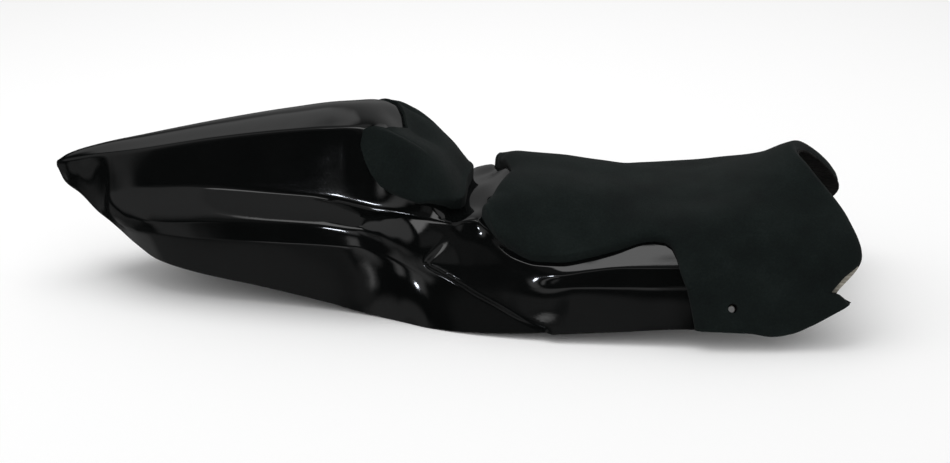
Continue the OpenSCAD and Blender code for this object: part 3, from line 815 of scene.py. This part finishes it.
# %% The back stop
STOP_THICK = 14.0
STOP_SIDE = 1.78                                  # place of its side edges
STOP_REAR = np.array([[0, -43], [0.5, -50], [0.9, -60], [1.04, -82], [1.25, -84], [1.45, -79],
                      [1.6, -72], [1.72, -62], [1.78, -50]], float)
STOP_FRONT = np.array([[0, 27], [0.6, 28], [1, 28], [1.2, 24], [1.4, 13], [1.6, 0], [1.78, -20]], float)
FEATHER, FEATHER_LONG = 0.22, 46                  # share left at the top edge, full after so many mm
STOP_DOWN, STOP_FOOT, STOP_HALF = 95, 90, 120     # its length and half width that the edges count in

down = refine([0, 0.04, 0.11, 0.25, 0.4, 0.55, 0.7, 0.82, 0.91, 0.97, 1], 8)
across = mirrored(refine([0, 0.15, 0.29, 0.42, 0.506, 0.585, 0.7, 0.81, 0.9, 0.96, 1], 8))
stop_t = across[None, :] * STOP_SIDE + 0 * down[:, None]
stop_top = np.interp(np.abs(stop_t), STOP_REAR[:, 0], STOP_REAR[:, 1])
stop_foot = np.interp(np.abs(stop_t), STOP_FRONT[:, 0], STOP_FRONT[:, 1])
stop_s = stop_top + (stop_foot - stop_top) * down[:, None]
stop_part = ((FEATHER + (1 - FEATHER) * ease(down[:, None] * STOP_DOWN / FEATHER_LONG))
             * share((1 - down[:, None]) * STOP_FOOT, low=0.85)
             * share((1 - np.abs(across))[None, :] * STOP_HALF))
back_stop = foam_pad("back_stop", stop_s, stop_t, stop_part,
                     np.ones((len(down) - 1, len(across) - 1), bool), STOP_THICK)
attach(back_stop, "root")
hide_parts("bum_stop_pad")

# %% [markdown]
# The studio is a white floor and a white world. A black gloss surface shows little of its own colour
# and mostly mirrors the room, so the room is what draws it: a dome of soft grey panels that only
# reflections see, placed by direction, with a small bare lamp that gives the stars of light. The floor
# isn't seen in reflections, so the lower flanks mirror the dome's low panels.

# %% Floor
FAR = 9    # half the floor's width, m
floor_mesh = bpy.data.meshes.new("floor")
floor_mesh.from_pydata([(-FAR, -FAR, 0), (FAR, -FAR, 0), (FAR, FAR, 0), (-FAR, FAR, 0)], [], [(0, 1, 2, 3)])
floor = bpy.data.objects.new("floor", floor_mesh)
bpy.context.scene.collection.objects.link(floor)
floor_paint, tree, out = finish("white_floor")
shade = node(tree, "BsdfDiffuse", Color=linear("#ffffff"))
tree.links.new(shade.outputs[0], out.inputs["Surface"])
floor_mesh.materials.append(floor_paint)

# %% Reflection dome
DOME = 4.0                  # radius in metres
DARK = 0.01                 # brightness between the panels
# Each panel: middle and half width of its bearing, middle and half height of its elevation, how soft
# its edge is, all in degrees, and its brightness. Bearing 0 is the camera's side, -90 the tail's side.
PANELS = ((-135, 28, 42, 10, 5, 0.56), (180, 32, 26, 26, 12, 0.24), (93, 70, 58, 32, 6, 0.6),
          (-73, 20, 40, 25, 7, 0.33), (-120, 62, 75, 17, 6, 0.27), (-26, 34, 66.5, 9, 2, 2.3),
          (-3, 11, 46, 9, 4, 0.15), (-40, 26, 46, 14, 6, 0.07), (-13, 7, 12, 6, 3, 0.65),
          (14, 8, 12, 12, 4, 0.32), (-52, 7, -9, 12, 3, 0.22), (-24, 6, -22, 1.5, 1.5, 1.2),
          (-13, 4, -3, 3, 1.5, 0.9), (-35, 40, -38, 7, 6, 0.17), (-35, 40, -60, 16, 6, 0.3),
          (-95, 28, -48, 14, 8, 0.5), (-85, 20, -16, 8, 6, 0.14),
          (-44, 8, -5, 22, 4, 0.27), (-30, 8, -26, 5, 3, 0.14), (-12, 5, -22, 6, 3, 0.5),
          (-2, 6, 18, 7, 3, 0.5), (-90, 14, -30, 6, 4, 0.4))


def room(bearing, rise):
    """Brightness by direction: the brightest of the panels there, each fading out over its soft edge."""
    light = np.full(bearing.shape, DARK)
    for turn, wide, up, tall, soft, bright in PANELS:
        off = np.abs((bearing - turn + 180) % 360 - 180)
        level = ease((wide + soft - off) / (2 * soft))
        upright = ease((tall + soft - np.abs(rise - up)) / (2 * soft))
        light = np.maximum(light, bright * level * upright)
    return light


def towards(bearing, rise):
    """Direction of unit length at a bearing and a rise in degrees: 0, 0 is the camera's side, level."""
    turned, raised = np.radians(bearing), np.radians(rise)
    return np.stack([np.cos(raised) * np.sin(turned), -np.cos(raised) * np.cos(turned), np.sin(raised)], -1)


bearings, rises = np.meshgrid(np.arange(-180, 181, 2.0), np.arange(-88, 89, 2.0), indexing="ij")
dome_quads = grid_quads(np.arange(bearings.size).reshape(bearings.shape))
dome = make_piece("reflection_dome", towards(bearings, rises).reshape(-1, 3) * DOME / MM, dome_quads,
                  np.zeros((0, 3), int), (), np.zeros(len(dome_quads)), np.zeros(0))
paint = dome.data.attributes.new("room_light", "FLOAT", "POINT")
paint.data.foreach_set("value", room(bearings, rises).ravel())
dome_paint, tree, out = finish("room_panels")
brightness = node(tree, "Attribute", {"attribute_name": "room_light"}).outputs["Fac"]
shade = node(tree, "Emission", Strength=brightness)
tree.links.new(shade.outputs[0], out.inputs["Surface"])
dome.data.materials.append(dome_paint)

# %% Bare lamp
LAMP_BEARING, LAMP_RISE = -18.0, 10.0      # degrees, as for the panels
LAMP_AWAY, LAMP_RADIUS, LAMP_SIDES = 3.8, 0.11, 24
LAMP_STRENGTH = 50.0
way = towards(LAMP_BEARING, LAMP_RISE)     # the lamp is a round card that faces the model
sideways = unit(np.cross(way, [0, 0, 1]))
round_angle = np.linspace(0, 2 * np.pi, LAMP_SIDES, endpoint=False)[:, None]
disc_points = way * LAMP_AWAY + LAMP_RADIUS * (
    np.cos(round_angle) * sideways + np.sin(round_angle) * np.cross(sideways, way))
card_mesh = bpy.data.meshes.new("bare_lamp")
card_mesh.from_pydata(disc_points.tolist(), [], [tuple(range(LAMP_SIDES))])
card = bpy.data.objects.new("bare_lamp", card_mesh)
bpy.context.scene.collection.objects.link(card)
lamp_glass, tree, out = finish("lamp_glass")
shade = node(tree, "Emission", Color=linear("#eef4ff"), Strength=LAMP_STRENGTH)
tree.links.new(shade.outputs[0], out.inputs["Surface"])
card_mesh.materials.append(lamp_glass)
for thing in (dome, card):
    thing.visible_camera = thing.visible_diffuse = thing.visible_shadow = thing.visible_transmission = False
floor.visible_glossy = False
print("panels in the dome:", len(PANELS))

# %% [markdown]
# The world is plain white to the camera and in reflections, and a little dimmer as light, so that the
# foam isn't washed out. One wide soft lamp overhead, unseen in reflections, gives the foam its shape.

# %% World and softbox
AMBIENT = 0.72                                # the white world's strength as light
SOFTBOX_WIDE, SOFTBOX_DEEP, SOFTBOX_WATTS = 2.4, 1.6, 20
SOFTBOX_AT, SOFTBOX_FACES = (-0.3, 0.3, 2.2), (0.14, -0.14, -1)
world = bpy.data.worlds.new("studio")
bpy.context.scene.world = world
world.use_nodes = True
tree = world.node_tree
tree.nodes.clear()
path = node(tree, "LightPath")
seen = node(tree, "Math", {"operation": "MAXIMUM"}, i0=path.outputs["Is Camera Ray"],
            i1=path.outputs["Is Glossy Ray"]).outputs[0]
seen = node(tree, "Math", {"operation": "MAXIMUM"}, i0=seen,
            i1=path.outputs["Is Transmission Ray"]).outputs[0]
strength = node(tree, "MapRange", i0=seen, i1=0.0, i2=1.0, i3=AMBIENT, i4=1.0).outputs[0]
glow = node(tree, "Background", Color=linear("#ffffff"), Strength=strength)
tree.links.new(glow.outputs[0], node(tree, "OutputWorld").inputs["Surface"])

lamp = bpy.data.objects.new("softbox", bpy.data.lights.new("softbox", "AREA"))
lamp.data.shape, lamp.data.size, lamp.data.size_y = "RECTANGLE", SOFTBOX_WIDE, SOFTBOX_DEEP
lamp.data.energy = SOFTBOX_WATTS
lamp.location = SOFTBOX_AT
lamp.rotation_euler = Vector(SOFTBOX_FACES).to_track_quat("-Z", "Y").to_euler()
lamp.visible_glossy = False
bpy.context.scene.collection.objects.link(lamp)
bpy.context.scene.view_settings.view_transform = "Standard"
print("world outside reflections:", AMBIENT)
